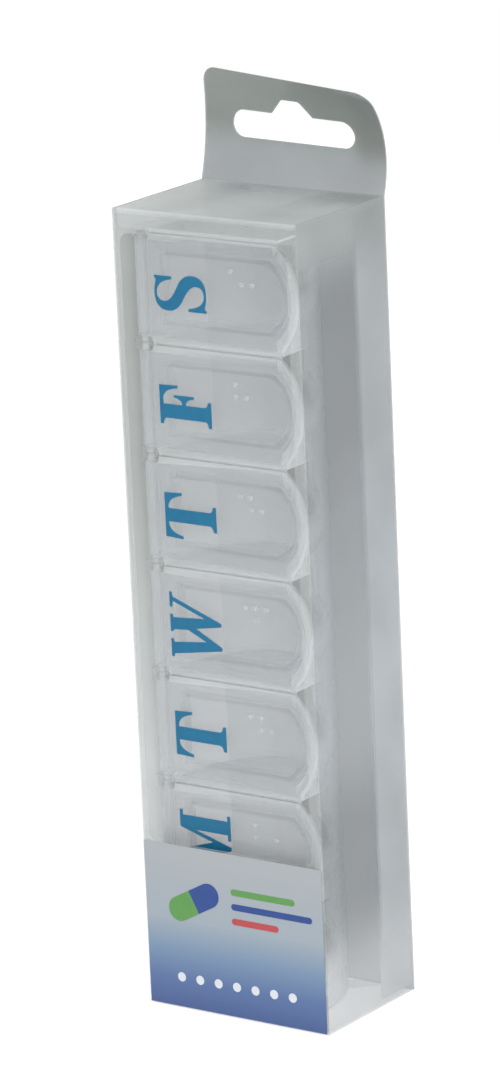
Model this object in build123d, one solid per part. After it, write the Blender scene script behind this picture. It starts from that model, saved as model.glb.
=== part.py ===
from build123d import *
import math
import os

os.makedirs("parts", exist_ok=True)

# Millimetres, +Z up. The carton stands on its bottom panel, front towards -Y, origin under its middle.
overrun = 2.0

# Trough of the pill box: a row of cups, standing on end with their mouths to the front
day_names = ["sunday", "monday", "tuesday", "wednesday", "thursday", "friday", "saturday"]
lid_pitch = 22.0
end_wall_extra = 0.5
box_depth = 26.6
moulded_wall = 1.2
rim_width = 33.2
foot_width = 13.6
straight_side_depth = 6.0
foot_edge_radius = 3.0

# Lobes of the thumb side, one for each cup
lobe_reach = 3.8
lobe_depth = 9.0
lobe_taper_deg = 12.0
lobe_share = 0.86

# Lids
lid_thickness = 1.4
lid_gap = 0.5
lip_reach = 0.9
shoulder_radius = 2.4
border_width = 1.6
border_drop = 0.6
open_angle_deg = 90.0

# Locating rim under each lid
plug_depth = 2.2
plug_wall = 0.9
plug_clearance = 0.9
plug_hinge_run = 4.0

# Hinge: a barrel on the lid with a pin at each end, carried by ears of the trough
barrel_radius = 1.3
barrel_clearance = 0.3
hinge_inset = 1.4
pin_radius = 0.8
pin_sides = 8
pin_length = 1.0
pin_clearance = 0.05
ear_radius = 1.9
ear_thickness = 2.4
ear_side_clearance = 0.2
ear_root_depth = 4.0

# Clear carton, folded from one sheet of film
film = 0.35
hinge_side_room = 1.5
lip_side_room = 2.4
lid_room = 3.0
head_room = 3.6
swing_clearance = 0.4
window_corner_radius = 2.0
band_height = 34.0
glue_strip_width = 10.4
glue_strip_end_gap = 0.6
fold_radius = 0.5
top_lip_length = 4.0
top_lip_tilt = 0.6
bottom_lip_length = 8.0
flap_side_gap = 0.2
lip_back_gap = 0.2
dust_flap_length = 14.0
top_flap_front_gap = 2.2
bottom_flap_front_gap = 0.6
dust_flap_back_gap = 0.3
dust_flap_corner = 3.0

# Hang tab above the back panel, bowed backwards, its right side curled to the front at the top
tab_height = 22.0
left_bow = 2.2
left_lean = 1.8
right_bow = 0.8
right_curl = 5.4
curl_drop = 1.5
tab_corner_radius = 3.0
slot_length = 29.0
slot_height = 5.4
slot_rise = 8.4
hump_base = 10.0
hump_top = 4.4
hump_height = 3.0
hump_radius = 1.2

# Printed label on the lower band of the front panel
label_thickness = 0.1
label_margin = 0.3

# Places worked out from the sizes above
cups_length = lid_pitch * len(day_names)
box_length = cups_length + 2 * end_wall_extra
carton_width = hinge_side_room + rim_width + lobe_reach + lip_reach + lip_side_room + 2 * film
carton_depth = box_depth + lid_room + 2 * film
x_wall = carton_width / 2 - film
y_back = carton_depth / 2 - film
z_floor = 2 * film
z_box_top = z_floor + box_length
z_flap = z_box_top + head_room + film
z_top = z_flap + film
z_cups = z_floor + end_wall_extra
x_trough_left = hinge_side_room - x_wall
x_trough_right = x_trough_left + rim_width
x_trough_mid = (x_trough_left + x_trough_right) / 2
x_lobe = x_trough_right + lobe_reach
x_lip = x_lobe + lip_reach
x_hinge = x_trough_left + hinge_inset
y_lid = y_back - box_depth
y_rim = y_lid + lid_thickness
y_hinge = y_lid + barrel_radius
lid_half = (lid_pitch - lid_gap) / 2
barrel_half = lid_pitch / 2 - ear_thickness / 2 - ear_side_clearance
slot_z = z_top + slot_rise + slot_height / 2


def cup_middle(day):
    """Height of the middle of a day's cup."""
    return z_cups + lid_pitch * (day + 1 / 2)


def block(x0, x1, y0, y1, z0, z1):
    """A plain block between two corners."""
    return Pos(x0, y0, z0) * Box(x1 - x0, y1 - y0, z1 - z0, align=(Align.MIN, Align.MIN, Align.MIN))


def trough_section(inset, front):
    """The trough's rounded cross-section, inset from its outer faces and open to the front line."""
    left = x_trough_left + inset
    right = x_trough_right - inset
    bend = y_rim + straight_side_depth
    foot = y_back - inset
    foot_left = x_trough_mid - foot_width / 2 + inset / 2
    foot_right = x_trough_mid + foot_width / 2 - inset / 2
    edges = [
        Line((left, front), (right, front)),
        Line((right, front), (right, bend)),
        TangentArc((right, bend), (foot_right, foot), tangent=(0, 1)),
        Line((foot_right, foot), (foot_left, foot)),
        TangentArc((left, bend), (foot_left, foot), tangent=(0, 1)),
        Line((left, bend), (left, front)),
    ]
    face = make_face(edges)
    foot_corners = face.vertices().sort_by(Axis.Y)[-2:]
    return fillet(foot_corners, foot_edge_radius)


def thumb_outline(x_start, x_shoulder, x_tip, half):
    """A panel seen from the front: straight sides, closed by a bowed edge for the thumb."""
    edges = [
        Line((x_shoulder, -half), (x_start, -half)),
        Line((x_start, -half), (x_start, half)),
        Line((x_start, half), (x_shoulder, half)),
        ThreePointArc((x_shoulder, half), (x_tip, 0), (x_shoulder, -half)),
    ]
    return make_face(edges)


def rounded_shoulders(face):
    """The same panel with its two corners on the thumb side rounded."""
    return fillet(face.vertices().sort_by(Axis.X)[-2:], shoulder_radius)


def front_plane(y, z):
    """A drawing plane that faces backwards, X to the right, at a depth and a height."""
    return Plane(origin=(0, y, z), x_dir=(1, 0, 0), z_dir=(0, 1, 0))


def lobe(day, inset):
    """The bowed swelling of one cup on the thumb side, tapering towards the foot."""
    half = lid_pitch * lobe_share / 2 - inset
    face = rounded_shoulders(thumb_outline(x_trough_mid, x_trough_right - inset, x_lobe - inset, half))
    plane = front_plane(y_rim, cup_middle(day))
    return extrude(plane * face, amount=lobe_depth - inset, taper=lobe_taper_deg)


def cup_hollow(day):
    """The space for one day's pills, open to the front."""
    length = lid_pitch - moulded_wall
    hollow = extrude(trough_section(moulded_wall, y_rim), amount=length)
    hollow = Pos(0, 0, cup_middle(day) - length / 2) * hollow
    return hollow + lobe(day, moulded_wall)


def hinge_rod(radius, z0, z1):
    """A round bar on the hinge axis between two heights."""
    return Pos(x_hinge, y_hinge, z0) * Cylinder(radius, z1 - z0, align=(Align.CENTER, Align.CENTER, Align.MIN))


def hinge_pin(reach):
    """The pin through a barrel, moulded with flats along it, standing out as far at both ends."""
    return Pos(x_hinge, y_hinge, -reach) * extrude(RegularPolygon(pin_radius, pin_sides), amount=2 * reach)


def ear(z0, z1):
    """One hinge ear: a round head on a root that runs down the trough's side."""
    root = block(x_hinge - ear_radius, x_hinge + ear_radius, y_hinge, y_rim + ear_root_depth, z0, z1)
    return root + hinge_rod(ear_radius, z0, z1)


def pill_tray():
    tray = Pos(0, 0, z_floor) * extrude(trough_section(0, y_rim), amount=box_length)
    days = range(len(day_names))
    tray += [lobe(day, 0) for day in days]
    tray -= [cup_hollow(day) for day in days]
    for day in days:
        low = cup_middle(day) - lid_pitch / 2
        tray -= hinge_rod(barrel_radius + barrel_clearance, low, low + lid_pitch)
    for mark in range(len(day_names) + 1):
        middle = z_cups + lid_pitch * mark
        low = max(middle - ear_thickness / 2, z_floor)
        high = min(middle + ear_thickness / 2, z_box_top)
        tray += ear(low, high)
    return tray - hinge_rod(pin_radius + pin_clearance, z_floor - overrun, z_box_top + overrun)


def lid_plate():
    """The lid's front plate: a raised panel with a sloping border, notched beside the hinge ears."""
    face = rounded_shoulders(thumb_outline(x_hinge, x_trough_right, x_lip, lid_half))
    plate = extrude(front_plane(y_lid, 0) * face, amount=lid_thickness)
    front = plate.faces().sort_by(Axis.Y)[0]
    border = [edge for edge in front.edges() if edge.center().X > x_hinge + lid_gap]
    plate = chamfer(border, border_width, border_drop, reference=front)
    notch_x = x_hinge + ear_radius + swing_clearance
    for low, high in [(-lid_pitch / 2, -barrel_half), (barrel_half, lid_pitch / 2)]:
        plate -= block(x_hinge - overrun, notch_x, y_lid - overrun, y_rim + overrun, low, high)
    return plate


def locating_rim():
    """The rim under the lid that drops into the cup's mouth."""

    def outline(step):
        inset = moulded_wall + plug_clearance + step
        start = x_hinge + plug_hinge_run + step
        half = lid_pitch * lobe_share / 2 - inset
        return thumb_outline(start, x_trough_right - inset, x_lobe - inset, half)

    return extrude(front_plane(y_rim, 0) * (outline(0) - outline(plug_wall)), amount=plug_depth)


def day_lid(day):
    lid = lid_plate() + locating_rim()
    lid += hinge_rod(barrel_radius, -barrel_half, barrel_half)
    lid += hinge_pin(barrel_half + ear_side_clearance + pin_length)
    return Pos(0, 0, cup_middle(day)) * lid


def hang_slot_face():
    """The hang slot: a long slot with a hump in the middle of its upper edge."""
    rise = slot_height / 2
    hump = make_face(
        Polyline(
            (-hump_base / 2, 0),
            (hump_base / 2, 0),
            (hump_base / 2, rise),
            (hump_top / 2, rise + hump_height),
            (-hump_top / 2, rise + hump_height),
            (-hump_base / 2, rise),
            close=True,
        )
    )
    hump = fillet(hump.vertices().sort_by(Axis.Y)[-2:], hump_radius)
    return SlotOverall(slot_length, slot_height) + hump


def tab_edge(x, bow, lean, height):
    """The cut side edge of the hang tab: a strip of the film's thickness along an arc."""
    inner = [(0, 0), (bow, height / 2), (lean, height)]
    outer = [(y + film, z) for y, z in inner]
    edges = [
        ThreePointArc(*inner),
        ThreePointArc(*outer),
        Line(inner[0], outer[0]),
        Line(inner[-1], outer[-1]),
    ]
    return Plane(origin=(x, y_back, z_top), x_dir=(0, 1, 0), z_dir=(1, 0, 0)) * make_face(edges)


def back_panel():
    """The back of the carton, running up into the curled hang tab."""
    side = carton_width / 2
    left_top = z_top + tab_height
    right_top = left_top - curl_drop
    left_edge = tab_edge(-side, left_bow, left_lean, tab_height)
    right_edge = tab_edge(side, right_bow, -right_curl, tab_height - curl_drop)
    panel = block(-side, side, y_back, y_back + film, 0, z_top) + loft([left_edge, right_edge], ruled=True)
    outline = make_face(Polyline((-side, 0), (side, 0), (side, right_top), (-side, left_top), close=True))
    outline = fillet(outline.vertices().sort_by(Axis.Y)[-2:], tab_corner_radius)
    slot_tilt = math.degrees(math.atan(curl_drop * (slot_z - z_top) / tab_height / carton_width))
    outline -= Pos(0, slot_z) * Rot(0, 0, -slot_tilt) * hang_slot_face()
    facing = Plane(origin=(0, y_back + carton_depth, 0), x_dir=(1, 0, 0), z_dir=(0, -1, 0))
    return panel & extrude(facing * outline, amount=2 * carton_depth)


def side_wall(side):
    """One side of the carton, on the left for -1 and on the right for 1."""
    x = side * (x_wall + film / 2)
    return block(x - film / 2, x + film / 2, -y_back, y_back, 0, z_top)


def glue_strip():
    """The strip of the side seam, inside the right wall at its back edge."""
    low = z_floor + glue_strip_end_gap
    high = z_flap - film - glue_strip_end_gap
    return block(x_wall - film, x_wall, y_back - glue_strip_width, y_back, low, high)


def lid_swing_reach():
    """How far to the left of the hinge an open lid crosses the front panel's outer face."""
    angle = math.radians(open_angle_deg)
    ahead = lid_room + film + barrel_radius
    along = (ahead - barrel_radius * math.cos(angle)) / math.sin(angle)
    return barrel_radius * math.sin(angle) - along * math.cos(angle)


def front_panel():
    """The front of the carton: a wide window that the lids open through, above a lower band."""
    left = x_hinge - lid_swing_reach() - swing_clearance
    right = x_lip + swing_clearance
    top = cup_middle(len(day_names) - 1) + lid_half + swing_clearance
    face = Pos((left + right) / 2, (band_height + top) / 2) * Rectangle(right - left, top - band_height)
    window = fillet(face.vertices(), window_corner_radius)
    facing = Plane(origin=(0, 0, 0), x_dir=(1, 0, 0), z_dir=(0, -1, 0))
    panel = block(-x_wall - film, x_wall + film, -y_back - film, -y_back, 0, z_top)
    return panel - extrude(facing * window, amount=carton_depth)


def folded_flap(reach, lip, tilt, width):
    """A flap seen from the side: it runs forwards from its crease and turns down into a tuck lip."""
    spine = FilletPolyline((0, 0), (-reach, 0), (tilt - reach, -lip), radius=fold_radius)
    side_plane = Plane(origin=(-width / 2, 0, 0), x_dir=(0, 1, 0), z_dir=(1, 0, 0))
    return extrude(side_plane * make_face(offset(spine, amount=film, side=Side.LEFT)), amount=width)


def top_flap():
    """The lid of the carton, creased along the back panel and tucked in behind the front panel."""
    width = 2 * (x_wall - flap_side_gap)
    return Pos(0, y_back, z_top) * folded_flap(2 * y_back - lip_back_gap, top_lip_length, top_lip_tilt, width)


def bottom_panel():
    """The closed bottom of the carton, its lip turned up against the front panel."""
    flap = folded_flap(2 * y_back, bottom_lip_length, 0, 2 * x_wall)
    return Pos(0, y_back, 0) * mirror(flap, Plane.XY)


def dust_flap(side, z, front_gap):
    """A flap folded in from a side wall, with its free corners cut off."""
    outer = side * x_wall
    inner = side * (x_wall - dust_flap_length)
    low = front_gap - y_back
    high = y_back - dust_flap_back_gap
    points = [
        (outer, low),
        (inner + side * dust_flap_corner, low),
        (inner, low + dust_flap_corner),
        (inner, high - dust_flap_corner),
        (inner + side * dust_flap_corner, high),
        (outer, high),
    ]
    return extrude(Pos(0, 0, z) * make_face(Polyline(*points, close=True)), amount=film)


def label():
    """The printed label on the front panel's lower band."""
    front = -y_back - film
    half = x_wall + film - label_margin
    return block(-half, half, front - label_thickness, front, label_margin, band_height - label_margin)


def save(name, solid):
    export_step(solid, os.path.join("parts", name + ".step"))


save("pill_tray", pill_tray())
for day, name in enumerate(day_names):
    save("lid_" + name, day_lid(day))
save("back_panel", back_panel())
save("left_wall", side_wall(-1))
save("right_wall", side_wall(1))
save("glue_strip", glue_strip())
save("front_panel", front_panel())
save("label", label())
save("bottom_panel", bottom_panel())
save("top_flap", top_flap())
for side, name in [(-1, "left"), (1, "right")]:
    save("bottom_dust_flap_" + name, dust_flap(side, film, bottom_flap_front_gap))
    save("top_dust_flap_" + name, dust_flap(side, z_flap - film, top_flap_front_gap))
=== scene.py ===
import math

import bpy
from mathutils import Matrix, Vector


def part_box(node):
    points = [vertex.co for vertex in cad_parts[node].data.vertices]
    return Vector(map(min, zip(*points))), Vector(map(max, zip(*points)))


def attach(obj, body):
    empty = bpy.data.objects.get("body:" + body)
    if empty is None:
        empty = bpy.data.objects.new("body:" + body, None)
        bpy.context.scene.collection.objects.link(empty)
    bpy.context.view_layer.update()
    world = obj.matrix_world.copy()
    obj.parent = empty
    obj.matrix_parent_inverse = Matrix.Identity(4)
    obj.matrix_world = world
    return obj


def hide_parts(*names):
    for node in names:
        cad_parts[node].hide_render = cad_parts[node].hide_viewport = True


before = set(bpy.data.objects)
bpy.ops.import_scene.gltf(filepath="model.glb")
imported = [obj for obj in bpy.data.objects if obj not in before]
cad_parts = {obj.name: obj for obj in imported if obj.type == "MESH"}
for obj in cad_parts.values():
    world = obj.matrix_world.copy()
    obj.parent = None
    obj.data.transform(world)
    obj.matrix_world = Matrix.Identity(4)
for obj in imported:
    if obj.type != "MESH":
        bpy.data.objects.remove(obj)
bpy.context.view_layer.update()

MM = 0.001
DAYS = ["sunday", "monday", "tuesday", "wednesday", "thursday", "friday", "saturday"]
DAY_LETTERS = ["S", "M", "T", "W", "T", "F", "S"]

# The lids' even spacing, and the foot of the lowest day's cup
first_low, first_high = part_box("lid_" + DAYS[0])
day_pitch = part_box("lid_" + DAYS[1])[0].z - first_low.z
day_low = (first_low.z + first_high.z - day_pitch) / 2

# Photograph: its height in pixels, and the view that was fitted to the carton's corners
PHOTO_HEIGHT_PX = 1077
FOCAL_PX = 5667
VIEW_AZIMUTH_DEG = 35.45
VIEW_ELEVATION_DEG = 14.98
VIEW_ROLL_DEG = -2.56
VIEW_DISTANCE = 1096 * MM
VIEW_SIDE_SHIFT = -2.432 * MM
VIEW_TARGET_HEIGHT = 93.69 * MM
SENSOR_MM = 36

# Values between which a noise pattern mostly runs
NOISE_SPAN = (0.3, 0.7)

# Film where it is cut or creased: the tint of the highlight painted there and its density, and the shares
# of a face's direction along the panel's own between which it comes to count as creased
CREASE_HIGHLIGHT_TINT = "#dfe4e4"
CREASE_ALPHA = 0.28
CREASE_HIGHLIGHT_TURN = (0.75, 0.35)

# Film: streaks in its cast, waves in its gloss, and how much denser it looks where it is seen edge on
STREAK_MM = 26
STREAK_CAST = (0.9, 1.1)
WAVE_MM = 14
WAVE_STRENGTH = 0.35
WAVE_DEPTH = 0.4 * MM
FILM_GRAZING = 0.25
FILM_GRAZING_ALPHA = 0.2

# Mouldings: the shares of a face's direction between which it comes to count as a wall edge on to the
# front, as level, or as turned to the right
EDGE_ON_TURN = (0.99, 0.9)
LEVEL_TURN = (0.5, 0.9)
RIGHT_TURN = (0.3, 0.7)

# Mouldings: where the thumb side sets in, where in each day its lobe turns clear, at which depth it turns
# milky again, and where in each day a face changes its density
THUMB_X = (2 * MM, 6 * MM)
CLEAR_LOBE = (0.35, 0.65)
LOBE_BACK_Y = (-5 * MM, -0.5 * MM)
FACE_CHANGE = (0.15, 0.7)

# Mouldings: depth of the faces where the lids sit on the tray
SEAT_Y = -10.4 * MM
SEAT_REACH = 0.3 * MM

# Mouldings: clouds in the plastic, its satin skin, and how much denser it looks where it is seen edge on.
# A moulded skin is finer than this, and is drawn as coarse as it needs to show.
CLOUD_MM = 9
CLOUD_SHARE = 0.3
SKIN_MM = 0.8
SKIN_SPREAD = 0.15
SKIN_STRENGTH = 0.08
SKIN_DEPTH = 0.05 * MM
MOULDED_GRAZING = 0.3
MOULDED_GRAZING_ALPHA = 0.12

# Ink's mottle, and the fibres of the label's card, which are finer than this and are drawn as coarse as
# they need to show
MOTTLE_MM = 1.6
FIBRE_MM = 0.5
FIBRE_STRENGTH = 0.06
FIBRE_DEPTH = 0.03 * MM

# Label's colours, from its foot to its top
LABEL_FADE = [
    (0.0, "#425a90"), (0.18, "#5570a0"), (0.36, "#7891ae"), (0.55, "#9fabb5"), (1.0, "#aaafb2"),
]

# Small radius that a mould leaves on every edge, and the angles up to which faces are one or shade as
# one, and over which an edge is rounded
EDGE_RADIUS = 0.2 * MM
EDGE_SEGMENTS = 2
WELD = 1e-7
FLAT_ANGLE = math.radians(0.5)
EDGE_ANGLE = math.radians(50)
SMOOTH_ANGLE = math.radians(35)

# Day letters, printed on the lids
CAP_HEIGHT = 12.05 * MM
PRINT_THICKNESS = 0.05 * MM
PRINT_GAP = 0.01 * MM
LETTER_X = -8.3 * MM
LETTER_DROP = 0.5 * MM
CURVE_STEPS = 8

# Label's motif: a tilted capsule, stripes by ink, length and height, and a row of dots
CAPSULE_LENGTH = 13 * MM
CAPSULE_HEIGHT = 5 * MM
CAPSULE_CENTRE = (-9.5 * MM, 22.5 * MM)
CAPSULE_TILT_DEG = 28
STRIPES = [("green", 15 * MM, 26 * MM), ("blue", 19 * MM, 23 * MM), ("red", 11 * MM, 20 * MM)]
STRIPE_LEFT = -0.5 * MM
STRIPE_HEIGHT = 1.3 * MM
ROW_PITCH = 4.4 * MM
ROW_HEIGHT = 6.5 * MM
ROW_DOT = 1.9 * MM

# Raised reading dots, one cell a lid
DOT_PITCH = 2.4 * MM
DOT_RADIUS = 0.62 * MM
DOT_RISE = 0.4 * MM
DOT_SEGMENTS = 16
DOT_RINGS = 10
DOT_SMOOTH_ANGLE = math.radians(40)
DOT_CELL_ROWS = 3
DOT_CELL_X = 3.6 * MM
DOT_CELL_RISE = 2.6 * MM

# Stage: the floor's side in metres and its own light where it is seen, and the light from all round
FLOOR_SIZE = 1.5
FLOOR_LIFT = 0.5
ROOM_LIGHT = 0.55
SEEN_LIGHT = 1.0

# Lamps: place and aim in metres, side, and the share of plain daylight
CARTON_MIDDLE = (0, 0, 0.09)
CARTON_LOW = (0, 0, 0.04)
LAMPS = [
    ("window_left", (-0.7, -0.7, 0.9), CARTON_MIDDLE, 0.7, 0.25),
    ("sky_above", (0.1, -0.1, 1.2), CARTON_MIDDLE, 0.9, 0.25),
    ("card_right", (0.9, -0.6, 0.4), CARTON_MIDDLE, 0.6, 0.3),
    ("table_bounce", (0.35, -0.8, 0.06), CARTON_LOW, 0.5, 0.12),
]


# Small helpers


def linear(hex_colour):
    """An sRGB hex colour as linear RGBA."""
    shares = [int(hex_colour[i : i + 2], 16) / 255 for i in (1, 3, 5)]
    return [s / 12.92 if s <= 0.04045 else ((s + 0.055) / 1.055) ** 2.4 for s in shares] + [1]


def pattern_scale(size_mm):
    """The scale of a pattern whose marks are about this large."""
    return 1 / (size_mm * MM)


def add_node(tree, kind, settings=None, **inputs):
    """Adds a node with its settings, and sets each input to a value or links it to a socket.

    An input goes by its name, with underscores for spaces, or by i and its number.
    """
    node = tree.nodes.new(kind)
    for name, value in (settings or {}).items():
        setattr(node, name, value)
    for name, value in inputs.items():
        numbered = name[0] == "i" and name[1:].isdigit()
        socket = node.inputs[int(name[1:]) if numbered else name.replace("_", " ")]
        if isinstance(value, bpy.types.NodeSocket):
            tree.links.new(value, socket)
        else:
            socket.default_value = value
    return node


def new_material(name, **constants):
    """A material with its Principled shader, whose even values are set on its own sockets."""
    material = bpy.data.materials.new(name)
    material.use_nodes = True
    tree = material.node_tree
    shader = tree.nodes["Principled BSDF"]
    for socket, value in constants.items():
        shader.inputs[socket.replace("_", " ")].default_value = value
    return material, tree, shader


def dress(name, material):
    """Gives a CAD node its finish."""
    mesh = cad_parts[name].data
    mesh.materials.clear()
    mesh.materials.append(material)


def deselect():
    bpy.ops.object.select_all(action="DESELECT")


def pick(piece):
    """Makes a piece the only selected one, and active."""
    deselect()
    piece.select_set(True)
    bpy.context.view_layer.objects.active = piece


def seat(piece, body, material):
    """Gives a finished piece its material and its body."""
    piece.data.materials.clear()
    piece.data.materials.append(material)
    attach(piece, body)


# Materials


def film_material(name, tint, face_alpha, face_axes, zones=()):
    """Clear PVC film, calendered and folded.

    A grey cast with faint streaks, glossy and a little wavy, so that reflections swim; a painted
    highlight where it is cut or creased, which are the faces turned away from the panel's own directions.
    Each zone is an axis, the two places in millimetres between which it sets in, and the tint and density
    that it gives the sheet there; most zones paint light and shade, lighter where light comes up from the
    floor and darker where the panel turns from the light and where a shadow falls. A later zone lies over
    an earlier one.
    """
    material, tree, shader = new_material(name, IOR=1.54, Roughness=0.24)
    place = add_node(tree, "ShaderNodeTexCoord")
    spot = add_node(tree, "ShaderNodeSeparateXYZ", Vector=place.outputs["Object"])
    turned = add_node(tree, "ShaderNodeSeparateXYZ", Vector=place.outputs["Normal"])
    facing = 0.0
    for axis in face_axes:
        along = add_node(tree, "ShaderNodeMath", {"operation": "ABSOLUTE"}, i0=turned.outputs[axis])
        facing = add_node(
            tree, "ShaderNodeMath", {"operation": "MAXIMUM"}, i0=along.outputs[0], i1=facing
        ).outputs[0]
    # The cut and creased faces, which get a painted highlight
    crease_highlight = add_node(
        tree, "ShaderNodeMapRange", Value=facing, From_Min=CREASE_HIGHLIGHT_TURN[0], From_Max=CREASE_HIGHLIGHT_TURN[1]
    ).outputs["Result"]
    tone, haze = linear(tint), face_alpha
    # Each zone mixes in its tint and density; most of them are painted light and shade
    for axis, start, end, zone_tint, zone_alpha in zones:
        share = add_node(
            tree, "ShaderNodeMapRange", {"interpolation_type": "SMOOTHSTEP"},
            Value=spot.outputs[axis], From_Min=start * MM, From_Max=end * MM,
        ).outputs["Result"]
        tone = add_node(
            tree, "ShaderNodeMix", {"data_type": "RGBA"}, Factor=share, A=tone, B=linear(zone_tint)
        ).outputs["Result"]
        haze = add_node(
            tree, "ShaderNodeMix", {"data_type": "FLOAT"}, Factor=share, A=haze, B=zone_alpha
        ).outputs["Result"]
    streaks = add_node(
        tree, "ShaderNodeTexNoise", Vector=place.outputs["Object"], Scale=pattern_scale(STREAK_MM),
        Detail=3.0,
    )
    uneven = add_node(
        tree, "ShaderNodeMapRange", Value=streaks.outputs["Fac"], From_Min=NOISE_SPAN[0],
        From_Max=NOISE_SPAN[1], To_Min=STREAK_CAST[0], To_Max=STREAK_CAST[1],
    )
    cast = add_node(
        tree, "ShaderNodeMix", {"data_type": "RGBA", "blend_type": "MULTIPLY"}, Factor=1.0, A=tone,
        B=uneven.outputs["Result"],
    )
    rim = add_node(tree, "ShaderNodeLayerWeight", Blend=FILM_GRAZING)
    grazing = add_node(
        tree, "ShaderNodeMath", {"operation": "MULTIPLY_ADD"}, i0=rim.outputs["Facing"],
        i1=FILM_GRAZING_ALPHA, i2=haze,
    )
    alpha = add_node(
        tree, "ShaderNodeMix", {"data_type": "FLOAT"}, Factor=crease_highlight, A=grazing.outputs[0],
        B=CREASE_ALPHA,
    )
    # Painted highlight on the cut and creased faces
    colour = add_node(
        tree, "ShaderNodeMix", {"data_type": "RGBA"}, Factor=crease_highlight, A=cast.outputs["Result"],
        B=linear(CREASE_HIGHLIGHT_TINT),
    )
    waves = add_node(
        tree, "ShaderNodeTexNoise", Vector=place.outputs["Object"], Scale=pattern_scale(WAVE_MM),
        Detail=1.0,
    )
    bump = add_node(
        tree, "ShaderNodeBump", Strength=WAVE_STRENGTH, Distance=WAVE_DEPTH, Height=waves.outputs["Fac"]
    )
    tree.links.new(colour.outputs["Result"], shader.inputs["Base Color"])
    tree.links.new(alpha.outputs["Result"], shader.inputs["Alpha"])
    tree.links.new(bump.outputs["Normal"], shader.inputs["Normal"])
    return material


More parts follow.
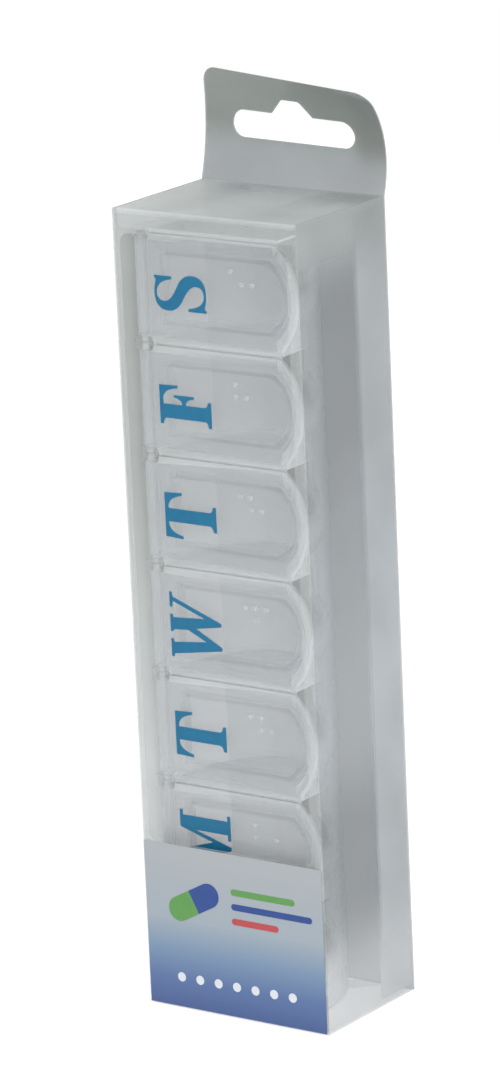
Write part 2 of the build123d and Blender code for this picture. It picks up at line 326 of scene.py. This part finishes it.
def moulded_material(
    name, tint, rim_tint, roughness, face_alphas, seat_alpha, side_alpha, level_alpha, thumb_alpha
):
    """Natural polypropylene, injection moulded.

    Milky and see-through, a little cloudy, with the soft satin of a moulded skin. Walls that stand edge
    on to the front are whiter, and each direction has its own density: faces to the front at the foot
    and at the top of each day, the faces that the lids sit on, sides, level walls, and the swollen thumb
    side, which is clear again on the upper half of each day's lobe.
    """
    material, tree, shader = new_material(name, IOR=1.49)
    place = add_node(tree, "ShaderNodeTexCoord")
    spot = add_node(tree, "ShaderNodeSeparateXYZ", Vector=place.outputs["Object"])
    turned = add_node(tree, "ShaderNodeSeparateXYZ", Vector=place.outputs["Normal"])
    along = add_node(tree, "ShaderNodeMath", {"operation": "ABSOLUTE"}, i0=turned.outputs["Y"])
    upright = add_node(tree, "ShaderNodeMath", {"operation": "ABSOLUTE"}, i0=turned.outputs["Z"])
    days_up = add_node(
        tree, "ShaderNodeMath", {"operation": "MULTIPLY_ADD"}, i0=spot.outputs["Z"],
        i1=1 / day_pitch, i2=-day_low / day_pitch,
    )
    of_day = add_node(tree, "ShaderNodeMath", {"operation": "FRACT"}, i0=days_up.outputs[0])
    spans = {
        "border": (along.outputs[0], EDGE_ON_TURN, "LINEAR"),
        "level": (upright.outputs[0], LEVEL_TURN, "LINEAR"),
        "to_right": (turned.outputs["X"], RIGHT_TURN, "LINEAR"),
        "at_right": (spot.outputs["X"], THUMB_X, "LINEAR"),
        "upper": (of_day.outputs[0], CLEAR_LOBE, "SMOOTHSTEP"),
        "behind": (spot.outputs["Y"], LOBE_BACK_Y, "SMOOTHSTEP"),
    }
    shares = {}
    for kind, (value, (start, end), easing) in spans.items():
        shares[kind] = add_node(
            tree, "ShaderNodeMapRange", {"interpolation_type": easing}, Value=value, From_Min=start,
            From_Max=end,
        ).outputs["Result"]
    milky = add_node(
        tree, "ShaderNodeMix", {"data_type": "FLOAT"}, Factor=shares["upper"], A=1.0,
        B=shares["behind"],
    )
    swollen = add_node(
        tree, "ShaderNodeMath", {"operation": "MULTIPLY"}, i0=shares["to_right"],
        i1=shares["at_right"],
    )
    thumb = add_node(
        tree, "ShaderNodeMath", {"operation": "MULTIPLY"}, i0=swollen.outputs[0],
        i1=milky.outputs["Result"],
    )
    face = add_node(
        tree, "ShaderNodeMapRange", Value=of_day.outputs[0], From_Min=FACE_CHANGE[0],
        From_Max=FACE_CHANGE[1], To_Min=face_alphas[0], To_Max=face_alphas[1],
    )
    seated = add_node(
        tree, "ShaderNodeMath", {"operation": "COMPARE"}, i0=spot.outputs["Y"], i1=SEAT_Y,
        i2=SEAT_REACH,
    )
    front = add_node(
        tree, "ShaderNodeMix", {"data_type": "FLOAT"}, Factor=seated.outputs[0],
        A=face.outputs["Result"], B=seat_alpha,
    )
    wall = side_alpha
    for share, denser in [(thumb.outputs[0], thumb_alpha), (shares["level"], level_alpha)]:
        wall = add_node(
            tree, "ShaderNodeMix", {"data_type": "FLOAT"}, Factor=share, A=wall, B=denser
        ).outputs["Result"]
    density = add_node(
        tree, "ShaderNodeMix", {"data_type": "FLOAT"}, Factor=shares["border"],
        A=front.outputs["Result"], B=wall,
    )
    clouds = add_node(
        tree, "ShaderNodeTexNoise", Vector=place.outputs["Object"], Scale=pattern_scale(CLOUD_MM),
        Detail=2.0,
    )
    cloudy = add_node(
        tree, "ShaderNodeMath", {"operation": "MULTIPLY_ADD", "use_clamp": True},
        i0=clouds.outputs["Fac"], i1=CLOUD_SHARE, i2=shares["border"],
    )
    tone = add_node(
        tree, "ShaderNodeMix", {"data_type": "RGBA"}, Factor=cloudy.outputs[0], A=linear(tint),
        B=linear(rim_tint),
    )
    rim = add_node(tree, "ShaderNodeLayerWeight", Blend=MOULDED_GRAZING)
    alpha = add_node(
        tree, "ShaderNodeMath", {"operation": "MULTIPLY_ADD", "use_clamp": True},
        i0=rim.outputs["Facing"], i1=MOULDED_GRAZING_ALPHA, i2=density.outputs["Result"],
    )
    skin = add_node(
        tree, "ShaderNodeTexNoise", Vector=place.outputs["Object"], Scale=pattern_scale(SKIN_MM),
        Detail=2.0,
    )
    gloss = add_node(
        tree, "ShaderNodeMapRange", Value=skin.outputs["Fac"], From_Min=NOISE_SPAN[0],
        From_Max=NOISE_SPAN[1], To_Min=roughness * (1 - SKIN_SPREAD),
        To_Max=roughness * (1 + SKIN_SPREAD),
    )
    bump = add_node(
        tree, "ShaderNodeBump", Strength=SKIN_STRENGTH, Distance=SKIN_DEPTH, Height=skin.outputs["Fac"]
    )
    tree.links.new(tone.outputs["Result"], shader.inputs["Base Color"])
    tree.links.new(alpha.outputs[0], shader.inputs["Alpha"])
    tree.links.new(gloss.outputs["Result"], shader.inputs["Roughness"])
    tree.links.new(bump.outputs["Normal"], shader.inputs["Normal"])
    return material


def ink_material(name, tint, worn_tint):
    """Screen ink on plastic or offset ink on card: an even, slightly glossy coat with a little mottle."""
    material, tree, shader = new_material(name, IOR=1.5, Roughness=0.38, Specular_IOR_Level=0.25)
    place = add_node(tree, "ShaderNodeTexCoord")
    mottle = add_node(
        tree, "ShaderNodeTexNoise", Vector=place.outputs["Object"], Scale=pattern_scale(MOTTLE_MM),
        Detail=3.0,
    )
    tone = add_node(
        tree, "ShaderNodeMix", {"data_type": "RGBA"}, Factor=mottle.outputs["Fac"], A=linear(tint),
        B=linear(worn_tint),
    )
    tree.links.new(tone.outputs["Result"], shader.inputs["Base Color"])
    return material


def label_material(low, high):
    """Offset print on coated card: silver grey at the top, fading to deep blue, under a satin coat."""
    material, tree, shader = new_material("coated_card_fading_blue", IOR=1.5, Roughness=0.34)
    place = add_node(tree, "ShaderNodeTexCoord")
    spot = add_node(tree, "ShaderNodeSeparateXYZ", Vector=place.outputs["Object"])
    height = add_node(
        tree, "ShaderNodeMapRange", Value=spot.outputs["Z"], From_Min=low, From_Max=high
    )
    fade = add_node(tree, "ShaderNodeValToRGB", Fac=height.outputs["Result"])
    ramp = fade.color_ramp.elements
    while len(ramp) < len(LABEL_FADE):
        ramp.new(0.5)
    for stop, (where, colour) in zip(ramp, LABEL_FADE):
        stop.position = where
        stop.color = linear(colour)
    fibre = add_node(
        tree, "ShaderNodeTexNoise", Vector=place.outputs["Object"], Scale=pattern_scale(FIBRE_MM),
        Detail=3.0,
    )
    bump = add_node(
        tree, "ShaderNodeBump", Strength=FIBRE_STRENGTH, Distance=FIBRE_DEPTH,
        Height=fibre.outputs["Fac"],
    )
    tree.links.new(fade.outputs["Color"], shader.inputs["Base Color"])
    tree.links.new(bump.outputs["Normal"], shader.inputs["Normal"])
    return material


# Mouldings


def soft_edged(node, body, material):
    """Stands for a moulded CAD part with a copy whose edges have the small radius of a mould."""
    piece = bpy.data.objects.new(node + "_moulded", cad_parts[node].data.copy())
    bpy.context.scene.collection.objects.link(piece)
    pick(piece)
    bpy.ops.object.mode_set(mode="EDIT")
    bpy.ops.mesh.select_all(action="SELECT")
    bpy.ops.mesh.remove_doubles(threshold=WELD)
    bpy.ops.mesh.dissolve_limited(angle_limit=FLAT_ANGLE)
    bpy.ops.object.mode_set(mode="OBJECT")
    bevel = piece.modifiers.new("mould_radius", "BEVEL")
    bevel.width = EDGE_RADIUS
    bevel.segments = EDGE_SEGMENTS
    bevel.limit_method = "ANGLE"
    bevel.angle_limit = EDGE_ANGLE
    bpy.ops.object.modifier_apply(modifier=bevel.name)
    bpy.ops.object.shade_smooth_by_angle(angle=SMOOTH_ANGLE)
    seat(piece, body, material)
    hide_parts(node)


# Prints

# Day letters: outlines in shares of the cap height. A pair is a corner, four numbers are a curve's
# control point and its end.
LETTER_SHARES = {
    "S": [
        (0.035, 0), (0.07, 0), (0.085, 0.045, 0.125, 0.035), (0.2, 0, 0.32, 0), (0.62, 0, 0.62, 0.28),
        (0.62, 0.45, 0.42, 0.56), (0.17, 0.69, 0.17, 0.81), (0.17, 0.955, 0.31, 0.955),
        (0.49, 0.95, 0.535, 0.66), (0.58, 0.66), (0.58, 1), (0.545, 1), (0.53, 0.96, 0.49, 0.968),
        (0.42, 1, 0.3, 1), (0.02, 1, 0.02, 0.73), (0.02, 0.56, 0.22, 0.45), (0.45, 0.32, 0.45, 0.19),
        (0.45, 0.045, 0.3, 0.045), (0.12, 0.05, 0.08, 0.35), (0.035, 0.35),
    ],
    "T": [
        (0.17, 0), (0.59, 0), (0.59, 0.06), (0.49, 0.07, 0.49, 0.14), (0.49, 0.93), (0.53, 0.93),
        (0.67, 0.91, 0.715, 0.66), (0.76, 0.66), (0.745, 1), (0.015, 1), (0, 0.66), (0.045, 0.66),
        (0.09, 0.91, 0.23, 0.93), (0.27, 0.93), (0.27, 0.14), (0.27, 0.07, 0.17, 0.06),
    ],
    "F": [
        (0, 0), (0.42, 0), (0.42, 0.06), (0.33, 0.07, 0.33, 0.14), (0.33, 0.495),
        (0.43, 0.49, 0.445, 0.33), (0.485, 0.33), (0.485, 0.72), (0.445, 0.72),
        (0.43, 0.57, 0.33, 0.56), (0.33, 0.93), (0.42, 0.93), (0.57, 0.92, 0.6, 0.64), (0.645, 0.64),
        (0.635, 1), (0, 1), (0, 0.94), (0.1, 0.93, 0.1, 0.87), (0.1, 0.13), (0.1, 0.07, 0, 0.06),
    ],
    "M": [
        (0, 0), (0.32, 0), (0.32, 0.06), (0.2, 0.06), (0.2, 0.8), (0.475, 0), (0.535, 0), (0.74, 0.7),
        (0.74, 0.06), (0.64, 0.06), (0.64, 0), (1.06, 0), (1.06, 0.06), (0.97, 0.06), (0.97, 0.94),
        (1.06, 0.94), (1.06, 1), (0.765, 1), (0.575, 0.36), (0.38, 1), (0, 1), (0, 0.94), (0.13, 0.94),
        (0.13, 0.06), (0, 0.06),
    ],
    "W": [
        (0, 1), (0.3, 1), (0.3, 0.95), (0.245, 0.94), (0.315, 0.3), (0.478, 0.66), (0.455, 0.94),
        (0.42, 0.95), (0.42, 1), (0.71, 1), (0.71, 0.95), (0.655, 0.94), (0.7, 0.32), (0.93, 0.94),
        (0.83, 0.95), (0.83, 1), (1.08, 1), (1.08, 0.95), (1, 0.94), (0.655, 0), (0.6, 0),
        (0.515, 0.5), (0.255, 0), (0.2, 0), (0.05, 0.94), (0, 0.95),
    ],
}


def curve_points(start, control, end):
    """Points along a curve from one corner to the next."""
    points = []
    for step in range(1, CURVE_STEPS + 1):
        t = step / CURVE_STEPS
        near, far = start.lerp(control, t), control.lerp(end, t)
        points.append(near.lerp(far, t))
    return points


def letter_outline(letter):
    """A letter's outline from its corners and curves."""
    points = []
    for mark in LETTER_SHARES[letter]:
        end = Vector(mark[-2:]) * CAP_HEIGHT
        curved = len(mark) == 4
        points += curve_points(points[-1], Vector(mark[:2]) * CAP_HEIGHT, end) if curved else [end]
    return points


def bar_outline(length, height, centre, turn_deg=0, sides=(1, -1)):
    """A bar with two round ends, turned about its middle, or the half of it on one side."""
    reach, radius = (length - height) / 2, height / 2
    turn = Matrix.Rotation(math.radians(turn_deg), 2)
    points = []
    for side in sides:
        for step in range(2 * CURVE_STEPS + 1):
            angle = math.pi * (step / (2 * CURVE_STEPS) - 0.5)
            out, up = reach + radius * math.cos(angle), radius * math.sin(angle)
            points.append(Vector((side * out, side * up)))
    if len(sides) == 1:
        points += [Vector((0, side * radius)), Vector((0, -side * radius))]
    return [turn @ point + Vector(centre) for point in points]


def flat_print(name, points, place, body, material):
    """A flat coat of ink with this outline, laid on a face."""
    curve = bpy.data.curves.new(name, "CURVE")
    curve.dimensions = "2D"
    curve.fill_mode = "BOTH"
    curve.extrude = PRINT_THICKNESS / 2
    spline = curve.splines.new("POLY")
    spline.points.add(len(points) - 1)
    for knot, point in zip(spline.points, points):
        knot.co = (*point, 0, 1)
    spline.use_cyclic_u = True
    piece = bpy.data.objects.new(name, curve)
    bpy.context.scene.collection.objects.link(piece)
    pick(piece)
    bpy.ops.object.convert(target="MESH")
    piece = bpy.context.view_layer.objects.active
    piece.data.transform(place)
    piece.data.update()
    seat(piece, body, material)


def print_depth(node):
    """How far forward the middle of a coat of ink lies on the front of a node."""
    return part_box(node)[0].y - PRINT_GAP - PRINT_THICKNESS / 2


def printed_letter(day, material):
    """One day letter, printed on its lid with its top towards the hinge."""
    lid = "lid_" + DAYS[day]
    points = letter_outline(DAY_LETTERS[day])
    low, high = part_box(lid)
    width = max(point.x for point in points)
    # Drawn x runs up the pill box, drawn y towards the hinge, and the print faces the front
    turn = Matrix(((0, -1, 0, 0), (0, 0, -1, 0), (1, 0, 0, 0), (0, 0, 0, 1)))
    foot = (LETTER_X + CAP_HEIGHT / 2, print_depth(lid), (low.z + high.z - width) / 2 - LETTER_DROP)
    flat_print("letter_" + DAYS[day], points, Matrix.Translation(foot) @ turn, lid, material)


def label_prints(inks):
    """A plain motif on the label: a tilted two-tone capsule, three stripes, and a dot for each day."""
    # Drawn x runs to the right, drawn y upwards, and the print faces the front
    turn = Matrix(((1, 0, 0, 0), (0, 0, -1, 0), (0, 1, 0, 0), (0, 0, 0, 1)))
    place = Matrix.Translation((0, print_depth("label"), 0)) @ turn
    shapes = []
    for name, side, ink in [("capsule_body", 1, "blue"), ("capsule_cap", -1, "green")]:
        half = bar_outline(CAPSULE_LENGTH, CAPSULE_HEIGHT, CAPSULE_CENTRE, CAPSULE_TILT_DEG, (side,))
        shapes.append((name, half, ink))
    for ink, length, height in STRIPES:
        centre = (STRIPE_LEFT + length / 2, height)
        shapes.append((f"stripe_{ink}", bar_outline(length, STRIPE_HEIGHT, centre), ink))
    for day, name in enumerate(DAYS):
        centre = ((day - len(DAYS) // 2) * ROW_PITCH, ROW_HEIGHT)
        shapes.append(("day_dot_" + name, bar_outline(ROW_DOT, ROW_DOT, centre), "white"))
    for name, points, ink in shapes:
        flat_print("print_" + name, points, place, "pack", inks[ink])


# Raised dots: the cell's places that each day letter uses, counted down the first column, then the second
DOT_CELLS = {"S": (2, 3, 4), "M": (1, 3, 4), "T": (2, 3, 4, 5), "W": (2, 4, 5, 6), "F": (1, 2, 4)}


def dome_of_dot():
    """One raised dot at the origin: half a ball, flattened, its round side to the front."""
    deselect()
    bpy.ops.mesh.primitive_uv_sphere_add(
        segments=DOT_SEGMENTS, ring_count=DOT_RINGS, radius=DOT_RADIUS
    )
    dome = bpy.context.object
    bpy.ops.object.mode_set(mode="EDIT")
    bpy.ops.mesh.select_all(action="SELECT")
    bpy.ops.mesh.bisect(
        plane_co=(0, 0, 0), plane_no=(0, 1, 0), use_fill=True, clear_outer=True, threshold=WELD
    )
    bpy.ops.mesh.select_all(action="SELECT")
    bpy.ops.transform.resize(value=(1, DOT_RISE / DOT_RADIUS, 1), center_override=(0, 0, 0))
    bpy.ops.object.mode_set(mode="OBJECT")
    bpy.ops.object.transform_apply(location=True, rotation=True, scale=True)
    bpy.ops.object.shade_smooth_by_angle(angle=DOT_SMOOTH_ANGLE)
    return dome


def reading_dots(day, dome, material):
    """The raised dots of one lid, read with a finger in the same direction as its letter."""
    lid = "lid_" + DAYS[day]
    low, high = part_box(lid)
    cell_z = (low.z + high.z) / 2 + DOT_CELL_RISE
    copies = []
    for place in DOT_CELLS[DAY_LETTERS[day]]:
        column, row = divmod(place - 1, DOT_CELL_ROWS)
        dot = dome.copy()
        dot.data = dome.data.copy()
        bpy.context.scene.collection.objects.link(dot)
        spot = (DOT_CELL_X + row * DOT_PITCH, low.y, cell_z + column * DOT_PITCH)
        dot.data.transform(Matrix.Translation(spot))
        copies.append(dot)
    deselect()
    for dot in copies:
        dot.select_set(True)
    bpy.context.view_layer.objects.active = copies[0]
    bpy.ops.object.join()
    copies[0].name = "reading_dots_" + DAYS[day]
    seat(copies[0], lid, material)


# Stage


def floor():
    """A sweep of matt white paper that keeps the shadow; seen directly it is white."""
    bpy.ops.mesh.primitive_plane_add(size=FLOOR_SIZE)
    ground = bpy.context.object
    ground.name = "floor"
    material, tree, shader = new_material(
        "white_paper_sweep", Base_Color=linear("#f2f2f2"), Roughness=0.9, Specular_IOR_Level=0.1,
        Emission_Color=(1, 1, 1, 1),
    )
    rays = add_node(tree, "ShaderNodeLightPath")
    seen = add_node(
        tree, "ShaderNodeMath", {"operation": "MAXIMUM"}, i0=rays.outputs["Is Camera Ray"],
        i1=rays.outputs["Is Glossy Ray"],
    )
    seen_through = add_node(
        tree, "ShaderNodeMath", {"operation": "MAXIMUM"}, i0=seen.outputs[0],
        i1=rays.outputs["Is Transmission Ray"],
    )
    lift = add_node(
        tree, "ShaderNodeMath", {"operation": "MULTIPLY"}, i0=seen_through.outputs[0], i1=FLOOR_LIFT
    )
    tree.links.new(lift.outputs[0], shader.inputs["Emission Strength"])
    ground.data.materials.append(material)


def surroundings():
    """Even light from all round, white where it is seen."""
    world = bpy.data.worlds.new("studio")
    bpy.context.scene.world = world
    world.use_nodes = True
    tree = world.node_tree
    tree.nodes.clear()
    rays = add_node(tree, "ShaderNodeLightPath")
    seen = add_node(
        tree, "ShaderNodeMath", {"operation": "MAXIMUM"}, i0=rays.outputs["Is Camera Ray"],
        i1=rays.outputs["Is Transmission Ray"],
    )
    strength = add_node(
        tree, "ShaderNodeMapRange", Value=seen.outputs[0], To_Min=ROOM_LIGHT, To_Max=SEEN_LIGHT
    )
    light = add_node(
        tree, "ShaderNodeBackground", Color=(1, 1, 1, 1), Strength=strength.outputs["Result"]
    )
    add_node(tree, "ShaderNodeOutputWorld", Surface=light.outputs[0])


def softbox(name, place, aim, size, share):
    """A square lamp that adds this share of plain daylight on a face turned to it."""
    lamp = bpy.data.lights.new(name, "AREA")
    lamp.size = size
    beam = Vector(aim) - Vector(place)
    lamp.energy = share * (math.pi * beam.length) ** 2
    holder = bpy.data.objects.new(name, lamp)
    holder.location = place
    holder.rotation_euler = beam.to_track_quat("-Z", "Y").to_euler()
    bpy.context.scene.collection.objects.link(holder)


def camera():
    """The photograph's view: to the right of the front, a little above, tilted by a hand's roll."""
    azimuth = math.radians(VIEW_AZIMUTH_DEG)
    elevation = math.radians(VIEW_ELEVATION_DEG)
    roll = math.radians(VIEW_ROLL_DEG)
    side = Vector((math.cos(azimuth), math.sin(azimuth), 0))
    back = Vector(
        (
            math.sin(azimuth) * math.cos(elevation),
            -math.cos(azimuth) * math.cos(elevation),
            math.sin(elevation),
        )
    )
    up = back.cross(side)
    right = math.cos(roll) * side + math.sin(roll) * up
    top = math.cos(roll) * up - math.sin(roll) * side
    eye = side * VIEW_SIDE_SHIFT + Vector((0, 0, VIEW_TARGET_HEIGHT)) + back * VIEW_DISTANCE
    data = bpy.data.cameras.new("photo_view")
    # The sensor's size goes along the longer side of the picture, which is its height
    data.sensor_fit = "AUTO"
    data.sensor_width = SENSOR_MM
    data.lens = FOCAL_PX * SENSOR_MM / PHOTO_HEIGHT_PX
    holder = bpy.data.objects.new("photo_view", data)
    turn = Matrix((right, top, back)).transposed().to_4x4()
    holder.matrix_world = Matrix.Translation(eye) @ turn
    bpy.context.scene.collection.objects.link(holder)
    bpy.context.scene.camera = holder


# The finishes of the pill box and its carton
lid_plastic = moulded_material(
    "natural_polypropylene_lids", "#dce3e8", "#eef3f4", roughness=0.22, face_alphas=(0.26, 0.2),
    seat_alpha=0.23, side_alpha=0.3, level_alpha=0.12, thumb_alpha=0.4,
)
tray_plastic = moulded_material(
    "natural_polypropylene_tray", "#d9dfe1", "#eef3f4", roughness=0.3, face_alphas=(0.08, 0.08),
    seat_alpha=0.65, side_alpha=0.12, level_alpha=0.22, thumb_alpha=0.95,
)
# The carton's panels are one film; each has its own copy, whose tint partly paints how light falls on
# that panel
left_film = film_material(
    # Left wall: lighter and clearer towards its foot, painted light from the floor
    "clear_pvc_film_left", "#a0a8a3", 0.5, "X", [("Z", 120, 30, "#c0c5c7", 0.42)]
)
# Right wall: lighter lower down and whitest at its foot, painted light from the floor; darker just above
# the label; lighter and denser at the back and near the top
right_film = film_material(
    "clear_pvc_film_right", "#9ba2a6", 0.22, "X",
    [
        ("Z", 150, 60, "#b6bdc2", 0.22),
        ("Z", 56, 38, "#8f969b", 0.22),
        ("Y", 3.4, 5.2, "#d0d6da", 0.4),
        ("Z", 143, 157, "#b8bebe", 0.5),
        ("Z", 26, 6, "#f3f6f9", 0.21),
    ],
)
front_film = film_material("clear_pvc_film_front", "#e2e7e7", 0.12, "Y")
# Top flap: darker towards the back and lighter on the left, a painted shadow and reflection of the tab;
# clearer below the top
flap_film = film_material(
    "clear_pvc_film_flaps", "#dce2e1", 0.36, "YZ",
    [
        ("Y", 0, 13, "#c3c9ca", 0.4),
        ("X", -9, -20, "#e6ebea", 0.4),
        ("Z", 159.4, 158.6, "#eceff0", 0.16),
    ],
)
# Back panel: darkest on the tab at the top and on the tab's right, where its curl turns from the light, a
# shade darker under the fold, and lighter towards its foot: painted shade and light on a grey film
back_film = film_material(
    "shaded_grey_pvc_film_back", "#7a847d", 0.67, "Y",
    [
        ("Z", 174, 164, "#979ea1", 0.61),
        ("X", 13, 17, "#767e79", 0.7),
        ("Z", 170, 163, "#979ea1", 0.61),
        ("Z", 161, 157, "#939a9d", 0.6),
        ("Z", 140, 60, "#abb2b6", 0.55),
    ],
)
# Glued seam: lighter towards its foot, painted light from the floor
glued_film = film_material(
    "glued_pvc_film_seam", "#d6dbde", 0.36, "X", [("Z", 150, 60, "#e6eaee", 0.5)]
)
blue_ink = ink_material("blue_screen_ink", "#16678e", "#25759b")

# The carton and its label
label_low, label_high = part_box("label")
dress("left_wall", left_film)
dress("right_wall", right_film)
dress("front_panel", front_film)
dress("back_panel", back_film)
dress("glue_strip", glued_film)
for name in ["bottom_panel", "top_flap"]:
    dress(name, flap_film)
for end in ["top", "bottom"]:
    for side in ["left", "right"]:
        dress(f"{end}_dust_flap_{side}", flap_film)
dress("label", label_material(label_low.z, label_high.z))
label_prints(
    {
        "blue": ink_material("navy_offset_ink", "#2f4a8c", "#385494"),
        "green": ink_material("leaf_green_offset_ink", "#5d9650", "#689f5b"),
        "red": ink_material("red_offset_ink", "#b84a4e", "#c05559"),
        "white": ink_material("white_offset_ink", "#e6eaee", "#dde2e8"),
    }
)

# The pill box
soft_edged("pill_tray", "pack", tray_plastic)
dome = dome_of_dot()
for day, name in enumerate(DAYS):
    soft_edged("lid_" + name, "lid_" + name, lid_plastic)
    printed_letter(day, blue_ink)
    reading_dots(day, dome, lid_plastic)
bpy.data.objects.remove(dome)

# The stage
deselect()
floor()
surroundings()
for lamp in LAMPS:
    softbox(*lamp)
camera()
bpy.context.scene.view_settings.view_transform = "Standard"
